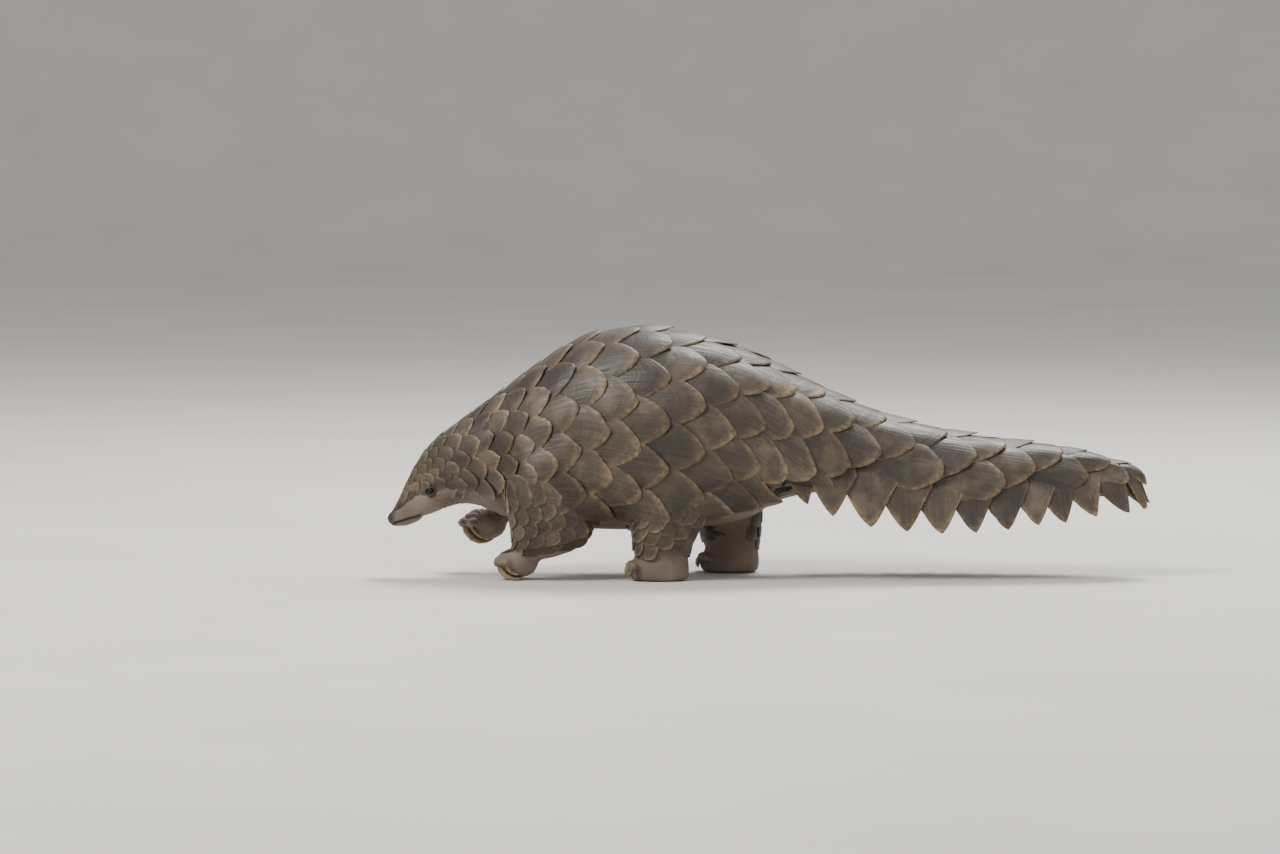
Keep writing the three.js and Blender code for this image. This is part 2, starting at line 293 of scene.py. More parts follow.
core, coreRadii, ringUps, ringOuts = bodyGround()
print("ground of the body read from the frame")
backX = core["points"][:, len(core["columns"]) // 2, 0]
backRun = np.concatenate([[0], np.cumsum(np.linalg.norm(np.diff(
    core["points"][:, len(core["columns"]) // 2], axis=0), axis=1))])
print("length along the back", round(float(backRun[-1]), 3))


# The same ground with the upper legs under it, for the scales that run from the body onto the legs

coatSet = {
    "legs": ["fore_leg_left", "fore_leg_right", "hind_leg_left", "hind_leg_right"],
    "legRise": 0.024,  # the most that they lift the coat
    "legsTo": 0.03,  # and the last X where they do
    "hip": (-0.08, -0.03, 0.06, 0.12),  # over these X the dent between hip and tail is bridged
    "hipRise": 0.03,
    "fullTo": 0.366,  # past this X the coat tapers straight on over the tail's end
    "taper": 0.88,
}
ringCount = bodySet["rings"]
centreX = core["centres"][:, 0]
legRadii = castRings(bodyNodes + coatSet["legs"], core["centres"], ringUps, ringOuts, bodySet["rays"],
                     bodySet["far"])
legRise = np.clip(legRadii - coreRadii, 0, coatSet["legRise"])
legRise[centreX > coatSet["legsTo"]] = 0
coatRadii = coreRadii + blur(legRise, 3, 3, wrap=True)
hip = ramp(*coatSet["hip"][:2], centreX) * (1 - ramp(*coatSet["hip"][2:], centreX))
bridge = np.clip(blur(coatRadii, 9, 6, wrap=True) - coatRadii, 0, coatSet["hipRise"])
coatRadii = blur(coatRadii + bridge * hip[:, None], 1.5, 1.5, wrap=True)
lastFull = int(np.searchsorted(centreX, coatSet["fullTo"]))
gone = np.clip((centreX - centreX[lastFull]) / (centreX[-1] - centreX[lastFull]), 0, 1)
taper = 1 - coatSet["taper"] * gone ** 2.2
rounded = blur(coatRadii[lastFull - 4:lastFull].mean(axis=0, keepdims=True), 0, 5, wrap=True)
coatRadii[lastFull:] = rounded * taper[lastFull:, None]
coatRadii[lastFull - 8:] = blur(coatRadii, 2, 2, wrap=True)[lastFull - 8:]
coat = groundFrom(core["centres"], ringUps, ringOuts, coatRadii, bodySet["step"], bodySet["reach"])
middleColumn = len(coat["columns"]) // 2


def atRing(ring, table):  # reads a table with one value for each ring
    return np.interp(ring, np.arange(ringCount), table)


# Where the coat ends: low on the flank, over the eye and ear on the head, at the margin on the tail

edgeSet = {
    "heights": [(-0.402, 0.0715), (-0.391, 0.0715), (-0.376, 0.0890), (-0.362, 0.0960), (-0.354, 0.0995),
                (-0.333, 0.1010), (-0.316, 0.0985), (-0.303, 0.0900), (-0.285, 0.0830), (-0.262, 0.0900),
                (-0.225, 0.0900), (-0.200, 0.0700), (-0.170, 0.0600), (-0.110, 0.0580), (-0.060, 0.0640),
                (-0.020, 0.0720), (0.030, 0.0860)],  # X and the height of the coat's lower edge
    "tailFrom": -0.02,
    "tailFull": 0.06,
}


def coatEdges(ground, side):
    right = ground["points"][:, middleColumn:]
    if side < 0:
        right = ground["points"][:, middleColumn::-1]
    edges = np.empty(ringCount)
    for i, row in enumerate(right):
        row = row[:int(ground["half"][i] / ground["step"]) + 1]
        below = np.flatnonzero(row[:, 2] < lineAt(row[:, 0], edgeSet["heights"]))
        low = below[0] if len(below) else len(row) - 1
        margin = int(np.argmax(np.abs(row[:, 1])))
        share = float(ramp(edgeSet["tailFrom"], edgeSet["tailFull"], centreX[i]))
        edges[i] = (low * (1 - share) + margin * share) * ground["step"]
    return blur(edges[:, None], 3, 0)[:, 0]


edgeOf = {side: coatEdges(coat, side) for side in (-1, 1)}


# The scales' lattice: columns along the body, each a half step on from its neighbours

latticeSet = {
    "pitch": [(-0.402, 0.0120), (-0.390, 0.0135), (-0.372, 0.0190), (-0.350, 0.0270), (-0.318, 0.0370),
              (-0.290, 0.0440), (-0.265, 0.0490), (-0.243, 0.0570), (-0.215, 0.0660), (-0.185, 0.0710),
              (-0.144, 0.0740), (-0.060, 0.0720), (0.000, 0.0690), (0.070, 0.0670), (0.200, 0.0640),
              (0.300, 0.0580), (0.360, 0.0500), (0.402, 0.0400)],
    "columns": [(-0.383, 4), (-0.362, 6), (-0.300, 8), (9.0, 10)],  # to each side, up to this X
    "rows": 24,
    "toTail": (-0.04, 0.04),  # over these X the columns go over to the tail's own distances
    "tailSpacing": 0.0245,
    "tailShare": [(0.28, 3.4), (0.40, 2.3)],
    "tailLeast": 0.0105,
    "jitter": 0.03,  # of a scale's place, over pitch and spacing
    "overlap": 1.42,  # length over pitch
    "spread": 1.26,  # width over twice the spacing
    "steepness": 0.072,  # how far the root lies under the tip, as a share of the length
    "thickness": 0.027,  # as a share of the length
    "rim": 0.0125,
}
phase = np.concatenate([[0], np.cumsum(np.diff(backRun) / lineAt(
    (backX[1:] + backX[:-1]) / 2, latticeSet["pitch"]))])
print("rows of scales along the back", round(float(phase[-1]), 1))


def columnsAt(x):
    return next(count for end, count in latticeSet["columns"] if x < end)


def spacingAt(ring, side):
    x, edge = atRing(ring, backX), atRing(ring, edgeOf[side])
    tail = max(latticeSet["tailLeast"], edge / lineAt(x, latticeSet["tailShare"]))
    tail = min(latticeSet["tailSpacing"], tail)
    share = ramp(*latticeSet["toTail"], x)
    return edge / (columnsAt(x) + 0.5) * (1 - share) + tail * share


def plateShape(rows, cols, fallBack, roundness, rootWidth, point=0.0):
    s = np.concatenate([np.linspace(0, 0.9, rows - 3), [0.95, 0.985, 1.0]])
    b = np.concatenate([[-1, -0.975, -0.93], np.linspace(-0.86, 0.86, cols - 6), [0.93, 0.975, 1]])
    rise, across = np.meshgrid(s, b, indexing="ij")
    reach = 1 - fallBack * np.abs(across) ** roundness - point * np.abs(across)
    along = rise * reach
    wide = across * (rootWidth + (1 - rootWidth) * ramp(0.0, 0.5, along))
    quads = []
    top = np.arange(rows * cols).reshape(rows, cols)
    bottom = top + rows * cols
    for r in range(rows - 1):
        for c in range(cols - 1):
            quads.append((top[r, c], top[r, c + 1], top[r + 1, c + 1], top[r + 1, c]))
            quads.append((bottom[r, c], bottom[r + 1, c], bottom[r + 1, c + 1], bottom[r, c + 1]))
    rim = [(0, c) for c in range(cols)] + [(r, cols - 1) for r in range(1, rows)]
    rim += [(rows - 1, c) for c in range(cols - 2, -1, -1)] + [(r, 0) for r in range(rows - 2, 0, -1)]
    for (r0, c0), (r1, c1) in zip(rim, rim[1:] + rim[:1]):
        quads.append((top[r1, c1], top[r0, c0], bottom[r0, c0], bottom[r1, c1]))
    return {"rise": rise, "across": across, "along": along, "wide": wide, "reach": reach,
            "quads": np.array(quads), "count": 2 * rows * cols}


plates = {
    "large": plateShape(19, 23, 0.28, 2.2, 0.60, 0.10),
    "middle": plateShape(15, 17, 0.29, 2.2, 0.60, 0.09),
    "small": plateShape(11, 13, 0.32, 2.1, 0.60, 0.08),
    "pointed": plateShape(19, 23, 0.26, 1.7, 0.80, 0.28),
}


def newCoat():
    return {"points": [], "quads": [], "hornMap": [], "rimMap": [], "bake": [], "tone": [], "start": 0}


def scaleOf(length, width, **more):  # one scale's sizes, with what makes it differ from its neighbours
    plate = "large" if length > 0.055 else "middle" if length > 0.028 else "small"
    length = length * dice.uniform(0.97, 1.03)
    spec = {
        "plate": plate,
        "length": length,
        "width": width * dice.uniform(0.97, 1.03),
        "thick": latticeSet["thickness"] * length,
        "rim": latticeSet["rim"] * length,
        "sink": latticeSet["steepness"] * length,
        "lift": length * dice.uniform(0.004, 0.026),
        "camber": length * dice.uniform(0.010, 0.024),
        "tilt": dice.uniform(-0.03, 0.03),
        "turn": dice.uniform(-0.03, 0.03),
        "wave": (dice.uniform(5, 13), dice.uniform(0, 6.28)),
        "ragged": dice.uniform(0.004, 0.016),
        "tone": dice.uniform(0, 1),
    }
    spec.update(more)
    return spec


def addPlate(piece, ground, ring, across, acrossRoot, spec, cell):  # the tip's ring and place across
    shape = plates[spec["plate"]]
    length, half = spec["length"], spec["width"] / 2
    a, b = shape["along"], shape["across"]
    ragged = 1 + spec["ragged"] * np.sin(b * spec["wave"][0] + spec["wave"][1]) * a**6
    da = (a * ragged - 1) * length
    db = shape["wide"] * half
    turn = spec["turn"]
    du = da * math.cos(turn) - db * math.sin(turn)
    dw = da * math.sin(turn) + db * math.cos(turn)
    middle = ring - 0.5 * length / groundAt(ground, "paceAlong", ring, across)
    rings = ring + du / groundAt(ground, "paceAlong", middle, across)
    places = across + (acrossRoot - across) * (1 - a) + dw
    beyond = np.zeros_like(places)
    if "hang" in spec:  # past the margin the scale goes on straight instead of turning under
        side = 1 if across > 0 else -1
        margin = atRing(rings, edgeOf[side])
        beyond = np.clip(side * places - margin, 0, None)
        places = side * np.minimum(side * places, margin)
    spots = groundAt(ground, "points", rings, places)
    normals = unit(groundAt(ground, "normals", rings, places))
    rimGap = np.minimum((1 - shape["rise"]) * length * shape["reach"], (1 - np.abs(b)) * half)
    curl = np.clip(rimGap / spec["rim"], 0, 1)
    thickness = spec["rim"] * (0.3 + 0.7 * np.sqrt(1 - (1 - curl) ** 2))
    thickness = thickness + (spec["thick"] - spec["rim"]) * ramp(0, 0.75 * half, rimGap)
    low = -spec["sink"] * (1 - a) - spec["rim"] + spec["lift"] * a**3
    low = low + spec["camber"] * (1 - b**2) * ramp(0.1, 0.7, a) + spec["tilt"] * b * half
    if "hang" in spec:
        spots = spots + beyond[..., None] * spec["hang"]
    topPoints = spots + normals * (low + thickness)[..., None]
    lowPoints = spots + normals * low[..., None]
    if "pull" in spec:  # draws the tip out to a place of its own
        share = (ramp(0.35, 1.0, a) ** 1.35)[..., None]
        move = (spec["pull"] - topPoints[-1, topPoints.shape[1] // 2]) * share
        topPoints, lowPoints = topPoints + move, lowPoints + move
    row, col = a.shape[0] // 2, a.shape[1] // 2
    middlePoint = topPoints[row, col]
    facing = np.cross(topPoints[row, col + 1] - middlePoint, topPoints[row + 1, col] - middlePoint)
    quads = shape["quads"] if np.dot(facing, normals[row, col]) > 0 else shape["quads"][:, ::-1]
    both = np.concatenate([topPoints.reshape(-1, 3), lowPoints.reshape(-1, 3)])
    both[:, 2] = np.maximum(both[:, 2], 0.0)
    piece["points"].append(both)
    piece["quads"].append(quads + piece["start"])
    piece["start"] += shape["count"]
    horn = np.stack([shape["wide"] * half, a * length], -1).reshape(-1, 2)
    rim = np.stack([b, shape["rise"]], -1).reshape(-1, 2)
    piece["hornMap"] += [horn, horn]
    piece["rimMap"] += [rim, rim]
    left, right, bottom, top = cell
    u = left + (right - left) * (0.05 + 0.9 * shape["rise"].reshape(-1))
    v = bottom + (top - bottom) * (0.2 + 0.75 * (0.5 + 0.5 * b.reshape(-1)))
    under = bottom + (top - bottom) * (0.04 + 0.1 * (0.5 + 0.5 * b.reshape(-1)))
    piece["bake"] += [np.stack([u, v], -1), np.stack([u, under], -1)]
    piece["tone"].append(np.full(shape["count"], spec["tone"]))


def closeCoat(piece, name):
    points = np.concatenate(piece["points"])
    quads = np.concatenate(piece["quads"])
    mesh = bpy.data.meshes.new(name)
    mesh.vertices.add(len(points))
    mesh.vertices.foreach_set("co", points.astype(np.float32).ravel())
    mesh.loops.add(len(quads) * 4)
    mesh.loops.foreach_set("vertex_index", quads.ravel().astype(np.int32))
    mesh.polygons.add(len(quads))
    mesh.polygons.foreach_set("loop_start", (np.arange(len(quads)) * 4).astype(np.int32))
    mesh.update()
    flat = quads.ravel()
    for mapName, key in (("ScaleMap", "hornMap"), ("RimMap", "rimMap"), ("OFBake", "bake")):
        layer = mesh.uv_layers.new(name=mapName)
        layer.data.foreach_set("uv", np.concatenate(piece[key])[flat].astype(np.float32).ravel())
    tone = mesh.attributes.new("tone", "FLOAT", "POINT")
    tone.data.foreach_set("value", np.concatenate(piece["tone"]).astype(np.float32))
    obj = bpy.data.objects.new(name, mesh)
    bpy.context.scene.collection.objects.link(obj)
    print(name, "scales", len(piece["points"]), "triangles", 2 * len(quads))
    return obj


# Every scale keeps its own patch of the coat's unwrap: along the body by its row, across by its column,
# the long strip cut into two lengths that lie beside each other

def patchOf(row, half, column, columns, rows=12, bands=2):
    band, place = divmod(row, rows)
    high = bands * columns
    left = (place + half) / (rows + 0.5)
    bottom = (min(band, bands - 1) * columns + column) / high
    return left, left + 1 / (rows + 0.5), bottom, bottom + 1 / high


coatPieces = {
    "back_scales": [-2, -1, 0, 1, 2],
    "upper_scales_left": [-6, -5, -4, -3],
    "upper_scales_right": [3, 4, 5, 6],
    "lower_scales_left": [-10, -9, -8, -7],
    "lower_scales_right": [7, 8, 9, 10],
}


def ringAtPhase(value):
    return np.interp(value, phase, np.arange(ringCount))


def bodyScales(columns):
    piece = newCoat()
    jitter = latticeSet["jitter"]
    for place, k in enumerate(columns):
        side = -1 if k < 0 else 1
        shift = 0.5 if k % 2 else 0.0
        for row in range(latticeSet["rows"]):
            tip = row + shift
            ring = ringAtPhase(tip + dice.uniform(-jitter, jitter))
            x, edge = atRing(ring, backX), atRing(ring, edgeOf[side])
            if (edge < 0.010 and x < 0) or tip > phase[-1] - 0.02:  # past the brow or the tail's end
                continue
            spacing = spacingAt(ring, side)
            onTail = ramp(*latticeSet["toTail"], x)
            limit = spacing * (columnsAt(x) + 0.1)
            if onTail > 0.3:  # up to the margin, and further where haunch and tail's end need it
                further = 2.0 * ramp(0.085, 0.045, x) + ramp(0.37, 0.38, x)
                limit = edge - spacing * (0.5 - further)
            if abs(k) * spacing > limit or (x > 0.374 and abs(k) > 2):
                continue
            pitch = lineAt(x, latticeSet["pitch"])
            across = k * spacing + dice.uniform(-jitter, jitter) * spacing
            edgeRoot = atRing(ringAtPhase(tip - latticeSet["overlap"]), edgeOf[side])
            narrow = edgeRoot / edge * (1 - onTail) + onTail
            spec = scaleOf(latticeSet["overlap"] * pitch, 2 * spacing * latticeSet["spread"])
            cell = patchOf(row, shift, place, len(columns))
            addPlate(piece, coat, ring, across, across * narrow, spec, cell)
    return piece


# Along each margin of the tail the scales fold over it and end in points that hang clear

marginSet = {
    "count": 11,
    "firstTip": 0.06525,
    "span": 0.302,
    "rootTip": (0.040, 0.079),  # X and height of one more at the tail's root
    "leastSteps": (0.044, 0.030),  # the least distance between tips, for that one and for the others
    "length": 1.62,  # over the distance between tips
    "width": 1.8,
    "sink": 0.15,
    # by place along the margin: how far the scale's body lies behind its tip, over the same distance,
    # how far it turns from the tail's line down, and how far below the margin it starts
    "back": [(0.68, 0.24), (0.89, 0.02), (1.0, -0.24), (1.11, -0.10)],
    "turn": [(-0.11, 0.95), (0, 1.32), (0.68, 1.20), (1.0, 0.72), (1.11, 0.45)],
    "drop": [(-0.11, 0.008), (0, 0.026), (1.0, 0.0085), (1.11, 0.003)],
    "lastShifts": [(-0.002, -0.003), (0.001, -0.003), (0.009, -0.006), (0.001, -0.013)],  # X and height
}
tailPoints = np.concatenate([pointsOf(nodes[name]) for name in ("tail_root", "tail_end")])


def toothTip(k, side):
    a = k / (marginSet["count"] - 2)
    x = marginSet["firstTip"] + marginSet["span"] * (1.2 * a - 0.2 * a * a)
    near = tailPoints[(np.abs(tailPoints[:, 0] - x) < 0.004) & (tailPoints[:, 1] * side > 0)]
    outer = near[near[:, 1] * side > 0.6 * np.max(near[:, 1] * side)]
    return outer[np.argmin(outer[:, 2])]


def marginScales(piece, side, first):
    places = range(-1, marginSet["count"])
    tips = [toothTip(k, side) for k in places]
    rootX, rootZ = marginSet["rootTip"]
    tips[0] = np.array([rootX, tips[0][1], rootZ])
    for back, (ahead, up) in enumerate(reversed(marginSet["lastShifts"])):
        tips[-1 - back] = tips[-1 - back] + np.array([ahead, 0.0, up])
    for place, (k, tip) in enumerate(zip(places, tips)):
        a = k / (marginSet["count"] - 2)
        least = marginSet["leastSteps"][min(place, 1)]
        step = max(least, tips[min(place + 1, len(tips) - 1)][0] - tip[0])
        behind = lineAt(a, marginSet["back"]) * step
        ring = np.interp(tip[0] + behind, centreX, np.arange(ringCount))
        across = side * (atRing(ring, edgeOf[side]) + lineAt(a, marginSet["drop"]))
        turn = lineAt(a, marginSet["turn"])
        hang = np.array([0.0, side * (0.10 + 0.5 * a), -1.0])
        spec = scaleOf(marginSet["length"] * step, marginSet["width"] * step, plate="pointed", pull=tip,
                       hang=hang / np.linalg.norm(hang), turn=side * (turn + dice.uniform(-0.04, 0.04)),
                       sink=marginSet["sink"] * marginSet["length"] * step, tilt=-0.07 * side,
                       ragged=0.006)
        addPlate(piece, coat, ring, across, across, spec, patchOf(place, 0.0, first, 4, 16, 1))


tailEndSet = {
    "width": 0.036,
    "lengths": (0.036, 0.044, 0.048),  # of the scale under the end, those beside it and the one over it
    "sideTip": (0.3965, 0.0165, 0.0735),
    "topTip": (0.4010, 0.0, 0.0775),
}


def tailEndScales(piece):  # the last few, over the tail's blunt end
    ring = ringCount - 1.5
    edge = 0.8 * atRing(ring, edgeOf[1])
    under, beside, over = tailEndSet["lengths"]
    x, y, z = tailEndSet["sideTip"]
    rows = [(3.5, coat["half"][-2], under, None), (2.0, edge, beside, (x, y, z)),
            (2.0, -edge, beside, (x, -y, z)), (0.0, 0.0, over, tailEndSet["topTip"])]
    for j, (back, across, length, tip) in enumerate(rows):
        spec = scaleOf(length, tailEndSet["width"], tilt=0.0, lift=0.0)
        if tip:
            spec["pull"] = np.array(tip)
        addPlate(piece, coat, ring - back, across, across, spec, patchOf(12 + j, 0.0, 0, 4, 16, 1))


tailUnderSet = {
    "columns": 2,  # to each side of the middle
    "firstRow": 10,
    "from": 0.052,  # X where they begin, behind the hind legs
    "endGap": 0.45,  # in rows
    "share": 3.5,  # columns from the middle to the margin
    "pitch": 0.95,  # over the back's
    "width": 2.2,  # over the spacing
}


def tailUnderScales(piece):
    first, outer = tailUnderSet["firstRow"], tailUnderSet["columns"]
    for k in range(-outer, outer + 1):
        shift = 0.5 if k % 2 else 0.0
        for row in range(first, latticeSet["rows"]):
            tip = row + shift
            ring = ringAtPhase(tip + dice.uniform(-latticeSet["jitter"], latticeSet["jitter"]))
            i = int(ring)
            if centreX[i] < tailUnderSet["from"] or tip > phase[-1] - tailUnderSet["endGap"]:
                continue
            spacing = (coat["half"][i] - atRing(ring, edgeOf[1])) / tailUnderSet["share"]
            pitch = lineAt(centreX[i], latticeSet["pitch"]) * tailUnderSet["pitch"]
            across = atRing(ring, coat["half"]) + k * spacing
            root = atRing(ringAtPhase(tip - latticeSet["overlap"]), coat["half"]) + k * spacing
            spec = scaleOf(latticeSet["overlap"] * pitch, tailUnderSet["width"] * spacing)
            left, right, bottom, top = patchOf(row - first, shift, k + outer, 5, 14, 1)
            cell = (left, right, 0.5 + bottom / 2, 0.5 + top / 2)
            addPlate(piece, coat, ring, across, root, spec, cell)


# On the legs the scales lie back and down, each leg on a ground of its own with rings from the top down

limbSet = {
    ("fore", "left"): {"line": [(-0.236, -0.060, 0.128), (-0.235, -0.062, 0.090), (-0.226, -0.060, 0.047),
                                (-0.240, -0.052, 0.026)],
                       "tips": (0.090, 0.027), "around": (-0.050, 0.075), "turn": 1.15},
    ("fore", "right"): {"line": [(-0.236, 0.060, 0.130), (-0.238, 0.061, 0.100), (-0.250, 0.056, 0.073),
                                 (-0.264, 0.052, 0.058)],
                        "tips": (0.100, 0.062), "around": (-0.046, 0.060), "turn": 1.05},
    ("hind", "left"): {"line": [(-0.086, -0.060, 0.112), (-0.101, -0.058, 0.074), (-0.110, -0.054, 0.044),
                                (-0.112, -0.052, 0.016)],
                       "tips": (0.078, 0.022), "around": (-0.072, 0.078), "turn": 0.62},
    ("hind", "right"): {"line": [(-0.060, 0.060, 0.112), (-0.047, 0.058, 0.074), (-0.039, 0.054, 0.044),
                                 (-0.038, 0.052, 0.016)],
                        "tips": (0.078, 0.022), "around": (-0.072, 0.078), "turn": 0.62},
}
legScaleSet = {
    "rings": 60,
    "rays": 96,
    "far": 0.085,  # farther out than any leg's surface
    "radii": (0.010, 0.060),
    "step": 0.002,
    "reach": 0.11,
    "rows": 5,  # each way from the leg's middle
    "columns": 9,
    "pitch": (0.030, 0.019),  # near the body and near the foot
    "bodyHeight": 0.085,
    "spacing": 0.42,  # over the mean pitch
    "length": 1.5,  # over pitch
    "width": 0.88,  # over length
    "sink": 0.085,
}


def limbGround(which, side, line):
    count = legScaleSet["rings"]
    centres = splineThrough(line, count)
    ups = np.tile([0.0, float(sides[side]), 0.0], (count, 1))
    outs = np.tile([1.0, 0.0, 0.0], (count, 1))
    names = [f"{which}_leg_{side}", f"{which}_foot_{side}", "trunk", "neck"]
    radii = castRings(names, centres, ups, outs, legScaleSet["rays"], legScaleSet["far"])
    radii = blur(np.clip(radii, *legScaleSet["radii"]), 1.0, 1.2, wrap=True)
    return groundFrom(centres, ups, outs, radii, legScaleSet["step"], legScaleSet["reach"])


def limbScales(which, side, spec):
    piece = newCoat()
    ground = limbGround(which, side, spec["line"])
    pace = np.median(ground["paceAlong"])
    ahead = np.array([math.cos(spec["turn"]), math.sin(spec["turn"])])  # down the leg, back round it
    beside = np.array([-ahead[1], ahead[0]])
    high, low = legScaleSet["pitch"]
    pitch = (high + low) / 2
    spacing = legScaleSet["spacing"] * pitch
    start = np.array([0.5 * pace * legScaleSet["rings"], 0.01])
    rows, columns = legScaleSet["rows"], legScaleSet["columns"]
    wide, tall = 1 / (2 * rows + 1), 1 / (2 * columns + 1)
    for k in range(-columns, columns + 1):
        for row in range(-rows, rows + 1):
            u, w = start + ahead * pitch * (row + (0.5 if k % 2 else 0.0)) + beside * spacing * k
            ring = u / pace + dice.uniform(-0.4, 0.4)
            w = w + dice.uniform(-0.0008, 0.0008)
            around = spec["around"][0] < w < spec["around"][1]
            if ring < 1 or ring > legScaleSet["rings"] - 2 or not around:
                continue
            height = groundAt(ground, "points", ring, w)[2]
            if not spec["tips"][1] < height < spec["tips"][0]:
                continue
            share = ramp(spec["tips"][1], legScaleSet["bodyHeight"], height)
            size = (high * share + low * (1 - share)) * legScaleSet["length"]
            one = scaleOf(size, size * legScaleSet["width"], sink=legScaleSet["sink"] * size,
                          turn=spec["turn"] + dice.uniform(-0.07, 0.07))
            left, bottom = (row + rows) * wide, (k + columns) * tall
            addPlate(piece, ground, ring, w, w, one, (left, left + wide, bottom, bottom + tall))
    return piece


scalePieces = [closeCoat(bodyScales(columns), name) for name, columns in coatPieces.items()]
tailPiece = newCoat()
marginScales(tailPiece, -1, 0)
marginScales(tailPiece, 1, 1)
tailEndScales(tailPiece)
tailUnderScales(tailPiece)
scalePieces.append(closeCoat(tailPiece, "tail_edge_scales"))
for (which, side), spec in limbSet.items():
    scalePieces.append(closeCoat(limbScales(which, side, spec), f"{which}_leg_scales_{side}"))


# The skin: a tube on the body's ground, sunk under the scales, joined with the limbs, nose and jaw

skinSet = {
    "underScales": 0.112,  # how deep the skin lies where scales cover it, over their pitch
    "bare": 0.0008,
    "limbDepth": 0.0036,
    "toes": {"fore": (0.0056, 0.0), "hind": (0.0049, 0.0018)},  # size of the toes' ends, and how far back
    "voxel": 0.0035,
    "limbVoxel": 0.0024,
    "around": 150,
    # the lowest height where leg scales cover the skin
    "legScalesEnd": {("fore", "left"): 0.030, ("fore", "right"): 0.066,
                     ("hind", "left"): 0.016, ("hind", "right"): 0.016},
}


def skinDepth(i, w):
    x = atRing(i, backX)
    edge = np.where(w < 0, atRing(i, edgeOf[-1]), atRing(i, edgeOf[1]))
    under = skinSet["underScales"] * lineAt(x, latticeSet["pitch"]) * (1 + ramp(0.36, 0.40, x))
    bare = ramp(0, 1, (np.abs(w) - edge + 0.005) / 0.016) * (1 - ramp(0.0, 0.05, x))
    return under * (1 - bare) + skinSet["bare"] * bare


def bodyTube():
    share = np.linspace(-1, 1, skinSet["around"], endpoint=False)
    rings = ringCount - 5  # it ends short of the last scales
    i = np.repeat(np.arange(0, rings, dtype=float)[:, None], len(share), axis=1)
    w = share[None, :] * core["half"][:rings, None]
    points = groundAt(core, "points", i, w)
    points = points - unit(groundAt(core, "normals", i, w)) * skinDepth(i, w)[..., None]
    count = len(share)
    at = np.arange(rings * count).reshape(rings, count)
    faces = [(at[r, c], at[r + 1, c], at[r + 1, (c + 1) % count], at[r, (c + 1) % count])
             for r in range(rings - 1) for c in range(count)]
    faces += [tuple(at[0, ::-1]), tuple(at[-1])]
    return meshFrom("pangolin_skin", points.reshape(-1, 3), faces)


def remesh(obj, voxel):
    makeActive(obj)
    obj.data.remesh_voxel_size = voxel
    obj.data.use_remesh_fix_poles = False
    obj.data.use_remesh_preserve_volume = True
    bpy.ops.object.voxel_remesh()


def smoothOut(obj, times, group=""):  # all of it, or one group of its vertices
    makeActive(obj)
    mod = obj.modifiers.new("smooth", "SMOOTH")
    mod.iterations = times
    mod.factor = 0.5
    mod.vertex_group = group
    bpy.ops.object.modifier_apply(modifier=mod.name)


def limbFlesh(which, side, scalesEnd):
    flesh = copyOf([f"{which}_leg_{side}", f"{which}_foot_{side}"], f"{which}_flesh_{side}")
    remesh(flesh, skinSet["limbVoxel"])
    smoothOut(flesh, 9)
    co, no = pointsOf(flesh), pointsOf(flesh, "normal")
    outer = ramp(-0.35, 0.15, no[:, 1] * sides[side]) * ramp(scalesEnd, scalesEnd + 0.012, co[:, 2])
    depth = skinSet["bare"] + (skinSet["limbDepth"] - skinSet["bare"]) * outer
    setPoints(flesh, co - no * depth[:, None])
    return flesh


def refine(obj, inside, times):  # splits the faces of one region and evens its vertices
    keep = inside(pointsOf(obj))
    selectFaces(obj, lambda face: all(keep[v] for v in face.vertices))
    bpy.ops.mesh.subdivide(number_cuts=1, smoothness=0, ngon=False)
    bpy.ops.object.mode_set(mode="OBJECT")
    group = obj.vertex_groups.new(name="region")
    group.add(np.flatnonzero(inside(pointsOf(obj))).tolist(), 1.0, "REPLACE")
    smoothOut(obj, times, group.name)
    obj.vertex_groups.clear()


skinParts = [bodyTube()]
for (which, side), low in skinSet["legScalesEnd"].items():
    skinParts.append(limbFlesh(which, side, low))
skinParts.append(copyOf(["lower_jaw", "nose"], "jaw_flesh"))
clawRoots = {"fore": [], "hind": []}
for name in nodes:
    if "_claw_" in name:
        horn = pointsOf(nodes[name])
        top = horn[np.argmax(horn[:, 2])]
        root = horn[np.linalg.norm(horn - top, axis=1) < 0.005].mean(axis=0)
        clawRoots[name[:4]].append(root)
        deselectAll()
        size, back = skinSet["toes"][name[:4]]
        bpy.ops.mesh.primitive_ico_sphere_add(subdivisions=3, radius=size,
                                              location=tuple(root + np.array([back, 0.0, 0.0])))
        skinParts.append(justAdded())
skin = joinAll(skinParts)
remesh(skin, skinSet["voxel"])
smoothOut(skin, 5)
print("skin joined,", len(skin.data.polygons), "faces")

eyes = {}
for side in sides:
    low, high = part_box(f"eye_{side}")
    eyes[side] = (np.array(low) + np.array(high)) / 2


refineSet = [  # a box's low and high X, distance from the middle and height, and how often it is evened
    ((-1, -1, -1), (-0.300, 1, 1), 3),  # the head
    ((-1, -1, -1), (-0.318, 1, 0.112), 4),  # the face
    ((-0.33, 0.018, -1), (-0.225, 1, 0.072), 8),  # the forepaws
]
refineNear = [(clawRoots["hind"], 0.0075, 3), (list(eyes.values()), 0.012, 3)]  # places, reach, times
for lows, highs, times in refineSet:
    def inBox(co):
        place = np.stack([co[:, 0], np.abs(co[:, 1]), co[:, 2]], 1)
        return np.all((place > lows) & (place < highs), axis=1)

    refine(skin, inBox, times)
for places, reach, times in refineNear:
    def nearPlaces(co):
        return np.min([np.linalg.norm(co - place, axis=1) for place in places], axis=0) < reach

    refine(skin, nearPlaces, times)
print("skin refined,", len(skin.data.polygons), "faces")


# The face: lids, nostrils, mouth and ear folds worked into the skin

